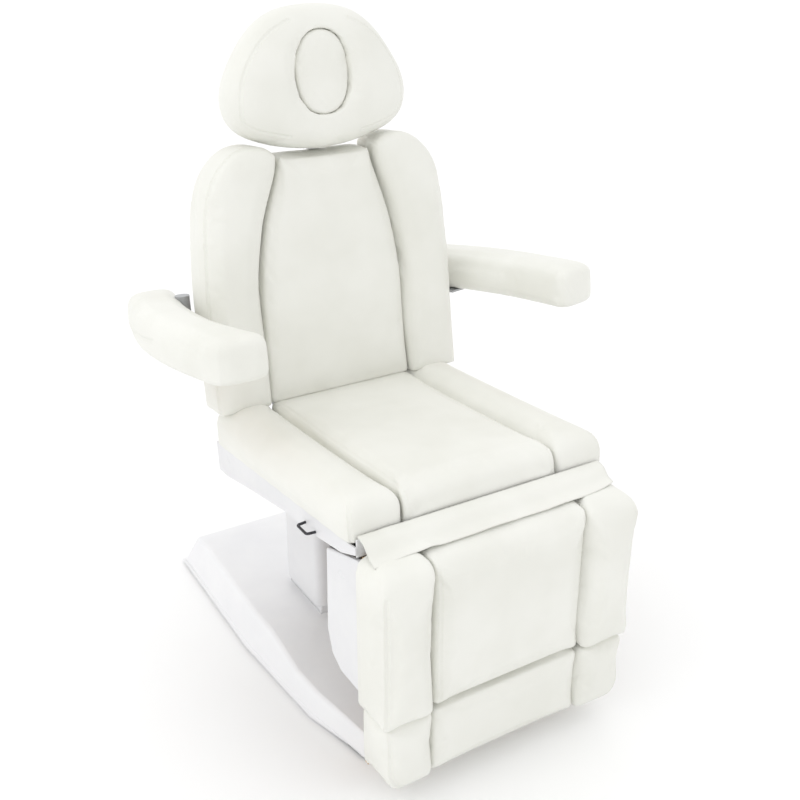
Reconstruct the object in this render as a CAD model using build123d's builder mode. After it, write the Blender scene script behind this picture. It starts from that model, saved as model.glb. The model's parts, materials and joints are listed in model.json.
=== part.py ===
from build123d import *
import os
from math import cos, hypot, radians, sin

# Electric facial treatment bed, standing in its chair position.
# The bed faces -Y and +Z is up. The origin is on the floor, under the middle of the bed.
# Lengths are in millimetres.

# ---------------------------------------------------------------- driving dimensions
seat_half = 311.0            # half the width of the seat and of the leg rest
back_half = 318.0            # half the width of the backrest
seat_tilt = 3.5              # the seat rises towards the front, degrees
back_tilt = 6.1              # the backrest leans back from upright, degrees
crease_y = 160.0             # where the seat's and the backrest's surfaces meet
crease_z = 621.8
front_y = -563.0             # front of the leg rest
rear_y = 565.0               # rear of the base
lift_travel = 230.0
column_y = 120.0             # axis of the lift column
wall = 4.0                   # moulded covers
board = 12.0                 # plywood boards
plate = 8.0                  # steel plates and ears
gap = 0.3                    # clearance between parts that slide

back_hinge = (218.0, 553.0)  # hinge axes, as (y, z)
leg_hinge = (-442.0, 583.0)
tilt_hinge = (150.0, 468.0)
head_hinge = (612.0, -66.0)  # in the backrest's own plane, as (up, out)
arm_pivot = (332.0, -132.0)  # in the backrest's own plane, as (across, out)
arm_splay = 15.0             # the right armrest is swung out by this much, degrees

os.makedirs("parts", exist_ok=True)

# The backrest's own plane: x across, y up along the backrest, z out of its front.
BACK = Plane(
    origin=(0, crease_y, crease_z),
    x_dir=(1, 0, 0),
    z_dir=(0, -cos(radians(back_tilt)), sin(radians(back_tilt))),
)
# The same place turned on end: x across, y out of its back, z up along the backrest.
UP = Plane(origin=BACK.origin, x_dir=(1, 0, 0), z_dir=BACK.y_dir)


# ---------------------------------------------------------------- helpers
def block(plane, xs, ys, zs, mode=Mode.ADD):
    """A box between two x, two y and two z values of a plane."""
    with BuildSketch(plane.offset(zs[0]), mode=Mode.PRIVATE) as face:
        with Locations(((xs[0] + xs[1]) / 2, (ys[0] + ys[1]) / 2)):
            Rectangle(xs[1] - xs[0], ys[1] - ys[0])
    extrude(face.sketch, amount=zs[1] - zs[0], mode=mode)


def rod(plane, centre, radius, start, end, mode=Mode.ADD):
    """A round bar standing on a plane, between two heights."""
    with BuildSketch(plane.offset(start), mode=Mode.PRIVATE) as face:
        with Locations(centre):
            Circle(radius)
    extrude(face.sketch, amount=end - start, mode=mode)


def slab(points, x_from, x_to, mode=Mode.ADD):
    """A side profile of (y, z) points drawn out across the bed."""
    with BuildSketch(Plane.YZ.offset(x_from), mode=Mode.PRIVATE) as side:
        with BuildLine():
            Polyline(*points, close=True)
        make_face()
    extrude(side.sketch, amount=x_to - x_from, mode=mode)


def both(xs):
    """The same stretch of x on the left and on the right."""
    return [(-xs[1], -xs[0]), xs]


def square_tube(plane, centre, size, thick, start, end):
    """A hollow rectangular tube standing on a plane."""
    with BuildSketch(plane.offset(start), mode=Mode.PRIVATE) as face:
        with Locations(centre):
            Rectangle(*size)
            Rectangle(size[0] - 2 * thick, size[1] - 2 * thick, mode=Mode.SUBTRACT)
    extrude(face.sketch, amount=end - start)


def seat_point(back, up):
    """A point given behind and above the crease, along the tilted seat."""
    tilt = radians(seat_tilt)
    return (crease_y + back * cos(tilt) + up * sin(tilt), crease_z - back * sin(tilt) + up * cos(tilt))


def seat_base(y):
    """Height of the seat cushion's underside."""
    return 580.0 - (y + 405.0) * 0.0966


def back_point(up, out):
    """World (y, z) of a point in the middle of the backrest's own plane."""
    place = BACK.from_local_coords(Vector(0, up, out))
    return (place.Y, place.Z)


def save(part, name):
    part.label = name
    export_step(part, f"parts/{name}.step")


# ---------------------------------------------------------------- base
base_rail_x = 200.0
base_top = 96.0
skirt_z = 8.0
base_front_y = -402.0
frame_low, frame_high = 15.0, 45.0

with BuildPart() as base_frame:
    for side in (-1, 1):
        square_tube(Plane.XZ, (side * base_rail_x, 30), (60, 30), 3, 370, -520)
    for y in (-350, 0, 240, 500):
        block(Plane.XY, (-172, 172), (y - 20, y + 20), (frame_low + 2, frame_high - 2))
    block(Plane.XY, (-171, 171), (column_y - 120, column_y + 120), (frame_high - 2, frame_high + 8))
save(base_frame.part, "base_frame")

with BuildPart() as leveling_feet:
    for x in (-base_rail_x, base_rail_x):
        for y in (-340, 490):
            rod(Plane.XY, (x, y), 22, 0, 9)
            rod(Plane.XY, (x, y), 6, 9, frame_low)
save(leveling_feet.part, "leveling_feet")


cover_lean = 38.0             # how far the cover's sides lean in by the top of its form


def cover_outline(height, inset):
    """Plan of the base cover at one height of its form."""
    half = [(306, rear_y), (317, 110), (298, -200), (258, base_front_y)]
    with BuildSketch(Plane.XY.offset(height), mode=Mode.PRIVATE) as plan:
        with BuildLine():
            Polyline(*half, *[(-x, y) for x, y in reversed(half)], close=True)
        make_face()
        corners = vertices().group_by(Axis.Y)
        fillet(corners[0], radius=45)
        fillet(corners[-1], radius=75)
        if inset:
            offset(amount=-inset)
    return plan.sketch


def cover_block(inset):
    """The base cover's outer form, or the same form moved in by the wall."""
    with BuildPart() as form:
        loft([cover_outline(skirt_z, inset), cover_outline(skirt_z + base_top, inset + cover_lean)])
        slab(
            [
                (base_front_y, 0),
                (base_front_y, 36 - inset),
                (base_front_y + 22, 54 - inset),
                (-100, 62 - inset),
                (40, base_top - 8 - inset),
                (470, base_top - inset),
                (540, base_top - 10 - inset),
                (rear_y, 62 - inset),
                (rear_y, 0),
            ],
            -400,
            400,
            mode=Mode.INTERSECT,
        )
    return form.part


sleeve_x, sleeve_y = 310.0, 190.0     # outer size of the moving column cover
inner_x, inner_y = 290.0, 170.0       # outer size of the fixed cover inside it
inlet_x, inlet_z = 120.0, 40.0

with BuildPart() as base_cover:
    add(cover_block(0))
    add(cover_block(wall), mode=Mode.SUBTRACT)
    with BuildSketch(Plane.XY):
        with Locations((0, column_y)):
            Rectangle(inner_x + 2, inner_y + 2)
    extrude(amount=150, mode=Mode.SUBTRACT)
    inlet_hole = ((inlet_x - 15, inlet_x + 15), (inlet_z - 12, inlet_z + 12), (-600, -530))
    block(Plane.XZ, *inlet_hole, mode=Mode.SUBTRACT)
save(base_cover.part, "base_cover")

with BuildPart() as mains_inlet:
    block(Plane.XZ, (inlet_x - 14, inlet_x + 14), (inlet_z - 11, inlet_z + 11), (-564, -540))
    block(Plane.XZ, (inlet_x - 11, inlet_x + 11), (inlet_z - 8, inlet_z + 8), (-570, -548), mode=Mode.SUBTRACT)
    for x in (-6, 0, 6):
        block(Plane.XZ, (inlet_x + x - 1, inlet_x + x + 1), (inlet_z - 2, inlet_z + 3), (-560, -548))
save(mains_inlet.part, "mains_inlet")

outer_x, outer_y = 150.0, 110.0
steel = 5.0
outer_top = 420.0
column_base = frame_high + 8

with BuildPart() as column_outer:
    square_tube(Plane.XY, (0, column_y), (outer_x, outer_y), steel, column_base, outer_top)
save(column_outer.part, "column_outer")

inner_clear = 7.0
ram_x, ram_y = outer_x - 2 * (steel + inner_clear), outer_y - 2 * (steel + inner_clear)

with BuildPart() as guide_pads:
    pad_thick = inner_clear - gap
    for z in (250, outer_top - 45):
        for x_side in (-1, 1):
            x_in = outer_x / 2 - steel
            xs = sorted((x_side * x_in, x_side * (x_in - pad_thick)))
            block(Plane.XY, xs, (column_y - 30, column_y + 30), (z, z + 40))
        for y_side in (-1, 1):
            y_in = outer_y / 2 - steel
            ys = sorted((column_y + y_side * y_in, column_y + y_side * (y_in - pad_thick)))
            block(Plane.XY, (-40, 40), ys, (z, z + 40))
save(guide_pads.part, "guide_pads")

with BuildPart() as column_lower_cover:
    square_tube(Plane.XY, (0, column_y), (inner_x, inner_y), wall, column_base, outer_top)
    fillet(column_lower_cover.edges().filter_by(Axis.Z), radius=3)
save(column_lower_cover.part, "column_lower_cover")

with BuildPart() as lift_motor:
    rod(Plane.XY, (0, column_y), 25, column_base, 330)
    rod(Plane.XY, (0, column_y), 11, 95, 340, mode=Mode.SUBTRACT)
    block(Plane.XY, (-50, -20), (column_y - 22, column_y + 22), (column_base, 88))
save(lift_motor.part, "lift_motor")

# ---------------------------------------------------------------- lift
head_z = 440.0                # underside of the lift head plate
sleeve_low = 112.0

with BuildPart() as column_inner:
    square_tube(Plane.XY, (0, column_y), (ram_x, ram_y), steel, 100, head_z)
save(column_inner.part, "column_inner")

with BuildPart() as lift_rod:
    rod(Plane.XY, (0, column_y), 10, 98, head_z)
save(lift_rod.part, "lift_rod")

tilt_foot = (-5.0, 330.0)     # lower pivot of the tilt actuator, as (y, z)
eye_half = 8.0                # half the width of an actuator's eye

with BuildPart() as lift_head:
    block(Plane.XY, (-84, 84), (60, 168), (head_z, head_z + plate))
    block(Plane.XY, (-35, 35), (-10, 60), (head_z, head_z + plate))
    block(Plane.XY, (-35, 35), (10, 10 + plate), (315, head_z))
    for xs in both((76.0, 84.0)):
        slab([(120, head_z + plate), (168, head_z + plate), (163, 486), (137, 486)], *xs)
    rod(Plane.YZ, tilt_hinge, 8, -90, 90, mode=Mode.SUBTRACT)
    for xs in both((eye_half + 1, eye_half + 6)):
        slab([(10, 315), (10, 350), (-13, 340), (-13, 320)], *xs)
    rod(Plane.YZ, tilt_foot, 4, -20, 20, mode=Mode.SUBTRACT)
save(lift_head.part, "lift_head")

with BuildPart() as tilt_pin:
    rod(Plane.YZ, tilt_hinge, 8, -98, 98)
save(tilt_pin.part, "tilt_pin")

with BuildPart() as column_upper_cover:
    with BuildSketch(Plane.XY.offset(sleeve_low)):
        with Locations((0, column_y)):
            RectangleRounded(sleeve_x, sleeve_y, 24)
            RectangleRounded(sleeve_x - 2 * wall, sleeve_y - 2 * wall, 20, mode=Mode.SUBTRACT)
    extrude(amount=head_z - sleeve_low)
    with BuildSketch(Plane.XY.offset(head_z - wall)):
        with Locations((0, column_y)):
            RectangleRounded(sleeve_x - 2, sleeve_y - 2, 23)
            Rectangle(ram_x + 2, ram_y + 2, mode=Mode.SUBTRACT)
    extrude(amount=wall)
save(column_upper_cover.part, "column_upper_cover")


# ---------------------------------------------------------------- seat
rail_y = (-350.0, 200.0)
cross_ys = (-330.0, -250.0, 60.0, 150.0)
cross_reaches = (285.0, 285.0, 165.0, 115.0)

with BuildPart() as seat_frame:
    for xs in both((95.0, 115.0)):
        ends = [(y, seat_base(y) - 13) for y in rail_y]
        slab([*ends, *[(y, z - 30) for y, z in reversed(ends)]], *xs)
    for y, reach in zip(cross_ys, cross_reaches):
        top = seat_base(y + 18) - 13
        block(Plane.XY, (-reach, reach), (y - 18, y + 18), (top - 10, top))
    block(Plane.XY, (-168, 168), (172, 200), (452, 466))
    for xs in both((95.0, 115.0)):
        block(Plane.XY, xs, (172, 200), (460, 490))
    for xs in both((86.5, 94.5)):
        slab([(110, 512), (190, 505), (168, 450), (132, 450)], *xs)
    for xs in both((160.0, 168.0)):
        slab([(172, 452), (200, 452), (200, 480), (238, 545), (230, 568), (206, 568), (184, 530)], *xs)
    for xs in both((150.0, 158.0)):
        slab([(-313, 556), (-313, 544), (-400, 548), (-453, 578), (-453, 592), (-436, 594), (-402, 566)], *xs)
    for pivot_y, pivot_x in ((-250.0, 145.0), (60.0, -145.0)):
        for offset_x in (-eye_half - 5, eye_half + 1):
            x = pivot_x + offset_x
            top = seat_base(pivot_y) - 20
            slab([(pivot_y - 16, top), (pivot_y + 16, top), (pivot_y + 9, 480), (pivot_y - 9, 480)], x, x + 4)
    block(Plane.XY, (-115, 115), (-150, -110), (seat_base(-110) - 26, seat_base(-110) - 16))
    for xs in both((eye_half + 2, eye_half + 7)):
        slab([(-150, 527), (-110, 527), (-118, 490), (-142, 490)], *xs)
    rod(Plane.YZ, tilt_hinge, 8.05, -100, 100, mode=Mode.SUBTRACT)
    rod(Plane.YZ, back_hinge, 8, -180, 180, mode=Mode.SUBTRACT)
    rod(Plane.YZ, leg_hinge, 6, -180, 180, mode=Mode.SUBTRACT)
    for pivot_y, pivot_x in ((-250.0, 145.0), (60.0, -145.0)):
        rod(Plane.YZ, (pivot_y, 490), 4, pivot_x - 20, pivot_x + 20, mode=Mode.SUBTRACT)
save(seat_frame.part, "seat_frame")

with BuildPart() as seat_board:
    line = [(y, seat_base(y) - 0.5) for y in (-395, 178)]
    slab([*line, *[(y, z - board) for y, z in reversed(line)]], -290, 290)
save(seat_board.part, "seat_board")

seat_profile = [
    (-586, -74), (-586, -12), (-570, 8), (-70, 8), (-12, 0), (45, -14), (82, -45), (92, -75), (92, -99),
]

with BuildPart() as seat_cushion:
    slab([seat_point(*p) for p in seat_profile], -seat_half, seat_half)
    slab([(-460, 560), (-395, 560), (-395, 601), (-460, 601)], -205, 205, mode=Mode.SUBTRACT)
    slab([(180, 500), (260, 500), (260, 640), (180, 640)], -215, 215, mode=Mode.SUBTRACT)
save(seat_cushion.part, "seat_cushion")

tray_outer, tray_inner = 304.0, 300.0
tray_low = [(240, 445), (188, 448), (48, 477), (-123, 508), (-286, 526), (-380, 543), (-437, 566)]
tray_top = [(-437, seat_base(-437) - 1.5), (246, seat_base(246) - 1)]

with BuildPart() as seat_tray:
    slab([*tray_low, *tray_top], -tray_outer, tray_outer)
    slab([(-470, 400), (236, 400), (241, 540), (-470, 640)], -tray_inner, tray_inner, mode=Mode.SUBTRACT)
    slab([(225, 466), (260, 466), (260, 530), (225, 530)], -205, 205, mode=Mode.SUBTRACT)
    for xs in both((288.0, tray_inner)):
        flange = [(236, 450), (236, 454), (188, 456), (48, 485), (-123, 516), (-123, 512), (48, 481), (188, 452)]
        slab(flange, *xs)
save(seat_tray.part, "seat_tray")

hook_ys = (-272.0, -227.0)
hook_z = 533.0
hook_wire = 3.0

with BuildPart() as handset_hook:
    with BuildLine() as wire:
        x_wall, x_out = -tray_outer - gap, -tray_outer - 20
        FilletPolyline(
            (x_wall, hook_ys[0], hook_z),
            (x_out, hook_ys[0] + 2, hook_z),
            (x_out, hook_ys[1] - 2, hook_z),
            (x_wall, hook_ys[1], hook_z),
            radius=6,
        )
    with BuildSketch(Plane(origin=wire.line @ 0, z_dir=wire.line % 0)):
        Circle(hook_wire)
    sweep()
save(handset_hook.part, "handset_hook")

with BuildPart() as control_box:
    block(Plane.XY, (-285, -190), (-190, -20), (500, 526))
    block(Plane.XY, (-250, -225), (-194, -190), (506, 520))
save(control_box.part, "control_box")

with BuildPart() as back_hinge_pin:
    rod(Plane.YZ, back_hinge, 8, -174, 174)
save(back_hinge_pin.part, "back_hinge_pin")

with BuildPart() as leg_hinge_pins:
    for xs in both((146.0, 172.0)):
        rod(Plane.YZ, leg_hinge, 6, *xs)
save(leg_hinge_pins.part, "leg_hinge_pins")

# The strip of cover cloth that hangs from the seat's front over the leg rest.
with BuildPart() as front_flap:
    slab([(-433, 597), (-438, 598), (-456, 597), (-484, 575), (-484, 579), (-456, 601), (-433, 602)], -298, 298)
save(front_flap.part, "front_flap")

# ---------------------------------------------------------------- backrest
frame_out = (-127.0, -107.0)     # depth of the backrest's frame tubes behind its surface
cushion_out = (-95.0, 25.0)
bar_x, bar_out = 13.0, (-72.0, -60.0)


def back_outline(inset):
    """Front view of the backrest: rounded shoulders and a top dished to clear the headrest."""
    half = [(back_half - inset, 6 + inset), (back_half - inset, 270), (302 - inset, 465), (262 - inset, 552)]
    with BuildLine() as rim:
        right = Polyline(*half[:2])
        shoulder = Spline(half[1], half[2], half[3], (198, 592 - inset), tangents=((0, 1), (-1, 0.1)))
        ThreePointArc(shoulder @ 1, (0, 556 - inset), (-198, 592 - inset))
        far_side = [(-x, y) for x, y in reversed(half[1:])]
        Spline((-198, 592 - inset), *far_side, tangents=((-1, -0.1), (0, -1)))
        left = Polyline(*[(-x, y) for x, y in reversed(half[:2])])
        Line(left @ 1, right @ 0)
    make_face(rim.edges())


with BuildPart() as back_cushion:
    with BuildSketch(BACK.offset(cushion_out[0])):
        back_outline(0)
    extrude(amount=cushion_out[1] - cushion_out[0])
    block(BACK, (-24, 24), (380, 620), (-96, -46), mode=Mode.SUBTRACT)
save(back_cushion.part, "back_cushion")

with BuildPart() as back_board:
    with BuildSketch(BACK.offset(cushion_out[0] - board)):
        back_outline(20)
    extrude(amount=board)
    block(BACK, (-26, 26), (380, 620), (-110, -90), mode=Mode.SUBTRACT)
save(back_board.part, "back_board")

lever_angle = 46.0            # how far behind the vertical the lever stands with the backrest up
lever_length = 80.0


def lever_point(along, across):
    """A point of the recline lever, along it from the hinge and across it, as (y, z)."""
    turn = radians(lever_angle)
    return (
        back_hinge[0] + along * sin(turn) + across * cos(turn),
        back_hinge[1] - along * cos(turn) + across * sin(turn),
    )


with BuildPart() as back_frame:
    for xs in both((140.0, 160.0)):
        block(BACK, xs, (-8, 520), frame_out)
    for ups in ((0, 20), (150, 170), (330, 350), (490, 510)):
        block(BACK, (-160, 160), ups, frame_out)
    block(BACK, (-22, 22), (395, 540), (-84, -48))
    bar_way = ((-bar_x - gap, bar_x + gap), (380, 560), (bar_out[0] - gap, bar_out[1] + gap))
    block(BACK, *bar_way, mode=Mode.SUBTRACT)
    block(BACK, (-22, 22), (490, 510), (-110, -84))
    block(BACK, (-22, 22), (395, 415), (-127, -84))
    block(BACK, (-22, 22), (395, 510), (-127, -107))
    rod(Plane.YZ, back_hinge, 14, -155, 155)
    for xs in both((140.0, 148.0)):
        crank = [(-46, -58), (-30, -80), (20, -107), (20, -127), (-8, -127), (-62, -84), (-76, -62), (-70, -52)]
        slab([back_point(*p) for p in crank], *xs)
    slab([lever_point(*p) for p in ((-12, -9), (-12, 11), (30, 9), (85, 8), (85, -8), (30, -7))], 128, 136)
    rod(Plane.YZ, back_hinge, 8.05, -160, 160, mode=Mode.SUBTRACT)
    for side in (-1, 1):
        bar_end = side * (arm_pivot[0] + 14)
        block(UP, sorted((side * 150, bar_end)), (-frame_out[1] + 1, -frame_out[0] - 1), (140, 150))
        block(UP, sorted((side * 308, bar_end)), (-frame_out[1] + 1, -arm_pivot[1] + 12), (140, 150))
        rod(UP, (side * arm_pivot[0], -arm_pivot[1]), 12, 150, 253)
save(back_frame.part, "back_frame")

shell_out = (-131.5, -107.2)
shell_outline = [(300, -34), (300, 300), (286, 450), (240, 528)]


def shell_block(inset):
    """The rear cover's outer form, or the same form moved in by its wall."""
    with BuildPart() as form:
        with BuildSketch(BACK.offset(shell_out[0] + inset)):
            with BuildLine():
                Polyline(*shell_outline, *[(-x, y) for x, y in reversed(shell_outline)], close=True)
            make_face()
            fillet(vertices().group_by(Axis.Y)[0], radius=30)
            if inset:
                offset(amount=-inset)
        extrude(amount=shell_out[1] - shell_out[0] + inset)
    return form.part


shell_wall = 3.5

with BuildPart() as back_shell:
    add(shell_block(0))
    add(shell_block(shell_wall), mode=Mode.SUBTRACT)
    for side in (-1, 1):
        block(BACK, sorted((side * 280, side * 310)), (137, 153), (-127.5, -100), mode=Mode.SUBTRACT)
    block(BACK, (-165, 165), (-60, -8), (-140, -80), mode=Mode.SUBTRACT)
save(back_shell.part, "back_shell")

# ---------------------------------------------------------------- headrest
head_mid = 734.0                 # middle of the face hole, up along the backrest
head_out = (-80.0, 28.0)
hole_radii = (67.5, 93.5)
plug_radii = (66.5, 92.5)

with BuildPart() as head_post:
    block(BACK, (-bar_x, bar_x), (400, head_hinge[0]), bar_out)
    rod(Plane.YZ, back_point(*head_hinge), 11, -bar_x, bar_x)
    rod(Plane.YZ, back_point(*head_hinge), 5.05, -20, 20, mode=Mode.SUBTRACT)
save(head_post.part, "head_post")


def head_outline(inset):
    """Front view of the headrest: wide at the neck and round at the crown."""
    low, high = 566 + inset, 880 - inset
    half = [(0, low), (120 - inset, 584 + inset), (205 - inset, 628), (228 - inset, 690)]
    half += [(194 - inset, 770), (118 - inset, 850 - inset), (0, high)]
    with BuildLine() as rim:
        Spline(*half, tangents=((1, 0), (-1, 0)))
        Spline(*[(-x, y) for x, y in half], tangents=((-1, 0), (1, 0)))
    make_face(rim.edges())


with BuildPart() as head_cushion:
    with BuildSketch(BACK.offset(head_out[0] + 14)):
        head_outline(0)
    extrude(amount=head_out[1] - head_out[0] - 14)
    with BuildSketch(BACK.offset(head_out[0])):
        head_outline(13)
    with BuildSketch(BACK.offset(head_out[0] + 14)):
        head_outline(0)
    loft()
    with BuildSketch(BACK.offset(head_out[0])):
        with Locations((0, head_mid)):
            Ellipse(*hole_radii)
    extrude(amount=120, mode=Mode.SUBTRACT)
    block(BACK, (-26, 26), (550, 634), (-85, -46), mode=Mode.SUBTRACT)
save(head_cushion.part, "head_cushion")

with BuildPart() as head_board:
    with BuildSketch(BACK.offset(head_out[0] - board)):
        head_outline(26)
        with Locations((0, head_mid)):
            Ellipse(*hole_radii, mode=Mode.SUBTRACT)
    extrude(amount=board)
    block(BACK, (-20.5, 20.5), (560, 631), (-100, -70), mode=Mode.SUBTRACT)
save(head_board.part, "head_board")

with BuildPart() as head_bracket:
    for xs in both((14.0, 20.0)):
        block(BACK, xs, (600, 624), (-100, -54))
        block(BACK, xs, (592, 632), (-100, -92))
    for xs in both((14.0, 60.0)):
        block(BACK, xs, (592, 632), (-97, -92))
    rod(Plane.YZ, back_point(*head_hinge), 5, -30, 30, mode=Mode.SUBTRACT)
save(head_bracket.part, "head_bracket")

with BuildPart() as head_pin:
    rod(Plane.YZ, back_point(*head_hinge), 5, -22, 22)
save(head_pin.part, "head_pin")

with BuildPart() as face_plug:
    with BuildSketch(BACK.offset(-70)):
        with Locations((0, head_mid)):
            Ellipse(*plug_radii)
    extrude(amount=96)
save(face_plug.part, "face_plug")

# ---------------------------------------------------------------- armrests
arm_mid = 378.0                  # the armrest's middle line, across
arm_half = 58.0
arm_ends = (-247.0, 318.0)       # rear and front ends, out of the backrest's surface
arm_bulge = 28.0
pad_up = (183.0, 265.0)
arm_board_thick = 12.0


def arm_outline(inset):
    """Plan of one armrest, bowed outwards, on the left side as drawn here with +x outwards."""
    rear, front = -arm_ends[0] - inset, -arm_ends[1] + inset
    middle = (rear + front) / 2
    inner_x, outer_x = arm_mid - arm_half + inset, arm_mid + arm_half - inset
    with BuildLine() as rim:
        inner = ThreePointArc((inner_x, rear), (inner_x + arm_bulge, middle), (inner_x, front))
        outer = ThreePointArc((outer_x, rear), (outer_x + arm_bulge, middle), (outer_x, front))
        Line(inner @ 0, outer @ 0)
        Line(inner @ 1, outer @ 1)
    make_face(rim.edges())
    fillet(vertices(), radius=30 - inset)


def arm_side(part, side):
    """Put a piece drawn on the +x side on its own side, and swing the right armrest out."""
    if side == "right":
        axis = Axis(UP.from_local_coords(Vector(arm_pivot[0], -arm_pivot[1], 0)), UP.z_dir)
        return part.rotate(axis, arm_splay)
    return part.mirror(Plane.YZ)


tube_radius = 17.0

with BuildPart() as arm_pad:
    with BuildSketch(UP.offset(pad_up[0])):
        arm_outline(0)
        with Locations((arm_pivot[0], -arm_pivot[1])):
            Circle(tube_radius + 0.5, mode=Mode.SUBTRACT)
    extrude(amount=pad_up[1] - pad_up[0])

with BuildPart() as arm_board:
    with BuildSketch(UP.offset(pad_up[0] - arm_board_thick)):
        arm_outline(22)
        with Locations((arm_pivot[0], -arm_pivot[1])):
            Circle(tube_radius + 0.5, mode=Mode.SUBTRACT)
    extrude(amount=arm_board_thick)

with BuildPart() as arm_socket:
    rod(UP, (arm_pivot[0], -arm_pivot[1]), tube_radius, 152, 262)
    block(UP, (arm_pivot[0], arm_mid + 30), (40, -arm_pivot[1] + 14), (166, 171))
    rod(UP, (arm_pivot[0], -arm_pivot[1]), 12.05, 152, 254, mode=Mode.SUBTRACT)

for side in ("left", "right"):
    save(arm_side(arm_pad.part, side), f"arm_pad_{side}")
    save(arm_side(arm_board.part, side), f"arm_board_{side}")
    save(arm_side(arm_socket.part, side), f"arm_socket_{side}")

# ---------------------------------------------------------------- leg rest
leg_back = -445.0                # rear face of the leg rest's cushion
leg_low = 222.0
foot_half = 302.0
foot_low, foot_high = 48.0, 218.0
leg_tube = (-433.0, -413.0)
rail_size = 20.0
rail_x = 140.0

with BuildPart() as leg_cushion:
    slab([(front_y, leg_low), (front_y, 517), (-548, 548), (-518, 568), (-478, 572), (leg_back, 572),
          (leg_back, leg_low)], -seat_half, seat_half)
    slab([(-460, 556), (-430, 556), (-430, 600), (-460, 600)], -205, 205, mode=Mode.SUBTRACT)
save(leg_cushion.part, "leg_cushion")

with BuildPart() as leg_board:
    block(Plane.XY, (-288, 288), (leg_back, leg_back + board), (238, 556))
save(leg_board.part, "leg_board")

with BuildPart() as leg_frame:
    for xs in both((182.0, 202.0)):
        block(Plane.XY, xs, leg_tube, (245, 548))
    for zs in ((245, 265), (528, 548)):
        block(Plane.XY, (-202, 202), leg_tube, zs)
    for xs in both((160.0, 168.0)):
        slab([(-413, 528), (-413, 552), (-431, 592), (-442, 596), (-454, 592), (-455, 572), (-446, 557), (-433, 557),
              (-433, 528)], *xs)
    for x in (-rail_x, rail_x):
        block(Plane.XY, (x - 14, x + 14), (leg_tube[0], -407), (300, 420))
    block(Plane.XY, (-182, 182), (-421, -413), (350, 370))
    for x in (-rail_x, rail_x):
        hole = rail_size / 2 + gap
        block(Plane.XY, (x - hole, x + hole), (-421 - hole, -421 + hole), (230, 560), mode=Mode.SUBTRACT)
    block(Plane.XY, (-158, -150), (-432, -410), (515, 560), mode=Mode.SUBTRACT)
    slab([(-420, 546), (-400, 538), (-384, 514), (-386, 500), (-396, 498), (-420, 528)], -136, -128)
    rod(Plane.YZ, leg_hinge, 6.05, -180, 180, mode=Mode.SUBTRACT)
save(leg_frame.part, "leg_frame")

leg_shell_half = 297.0
shell_side = [(-444, 556), (-300, 510), (-294, 310), (-312, 258), (-350, 234), (-444, 231)]

with BuildPart() as leg_shell:
    slab(shell_side, -leg_shell_half, leg_shell_half)
    inner_side = [(-450, 600), (-303.5, 560), (-303.5, 510), (-297.5, 310), (-315, 260.5), (-351, 237.5), (-450, 234.5)]
    slab(inner_side, -leg_shell_half + shell_wall, leg_shell_half - shell_wall, mode=Mode.SUBTRACT)
    for x in (-rail_x, rail_x):
        block(Plane.XY, (x - 13, x + 13), (-434, -408), (220, 240), mode=Mode.SUBTRACT)
    block(Plane.XY, (-160, -122), (-405, -280), (468, 560), mode=Mode.SUBTRACT)
save(leg_shell.part, "leg_shell")

with BuildPart() as foot_cushion:
    slab([(front_y + 2, foot_low + 26), (front_y + 2, foot_high), (leg_back - 3, foot_high), (leg_back - 3, foot_low),
          (-535, foot_low)], -foot_half, foot_half)
save(foot_cushion.part, "foot_cushion")

with BuildPart() as foot_board:
    block(Plane.XY, (-290, 290), (leg_back - 3, leg_back + 8), (58, 218))
save(foot_board.part, "foot_board")

with BuildPart() as foot_rails:
    for x in (-rail_x, rail_x):
        half = rail_size / 2
        block(Plane.XY, (x - half, x + half), (-421 - half, -421 + half), (110, 500))
        block(Plane.XY, (x - half, x + half), (leg_back + 8, -421), (110, 210))
save(foot_rails.part, "foot_rails")


# ---------------------------------------------------------------- linear actuators
body_radius, tube_r, bore_r, shank_r = 18.0, 14.0, 9.0, 6.5
pin_radius = 4.0


def actuator(x, foot, end, body_length, tube_length, rod_start, bore_start):
    """A linear actuator between two (y, z) points: its housing, and its sliding rod."""
    length = hypot(end[0] - foot[0], end[1] - foot[1])
    y_step, z_step = (end[0] - foot[0]) / length, (end[1] - foot[1]) / length
    side = Plane(origin=(x, *foot), x_dir=(1, 0, 0), z_dir=(0, -z_step, y_step))
    profile = [
        (0, 6), (shank_r, 6), (shank_r, 16), (body_radius, 16), (body_radius, body_length), (tube_r, body_length),
        (tube_r, tube_length), (bore_r, tube_length), (bore_r, bore_start), (0, bore_start),
    ]
    with BuildPart() as housing:
        with BuildSketch(side):
            with BuildLine() as rim:
                Polyline(*profile, close=True)
            make_face(rim.edges())
        revolve(axis=Axis((x, *foot), (0, y_step, z_step)))
        rod(Plane.YZ, foot, 11, x - eye_half, x + eye_half)
        rod(Plane.YZ, foot, pin_radius + 0.05, x - 20, x + 20, mode=Mode.SUBTRACT)
    along = Plane(origin=(x, *foot), x_dir=(1, 0, 0), z_dir=(0, y_step, z_step))
    with BuildPart() as ram:
        rod(along, (0, 0), bore_r - 0.05, rod_start, length - 8)
        rod(Plane.YZ, end, 9.5, x - eye_half, x + eye_half)
    return housing.part, ram.part


actuators = {
    "tilt": (0.0, tilt_foot, (-130.0, 500.0), 120, 150, 60, 42),
    "back": (145.0, (-250.0, 490.0), lever_point(lever_length, 0), 230, 390, 250, 140),
    "leg": (-145.0, (60.0, 490.0), (-392.0, 508.0), 210, 300, 140, 134),
}

for name, values in actuators.items():
    housing, ram = actuator(*values)
    save(housing, f"{name}_motor")
    save(ram, f"{name}_rod")

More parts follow.
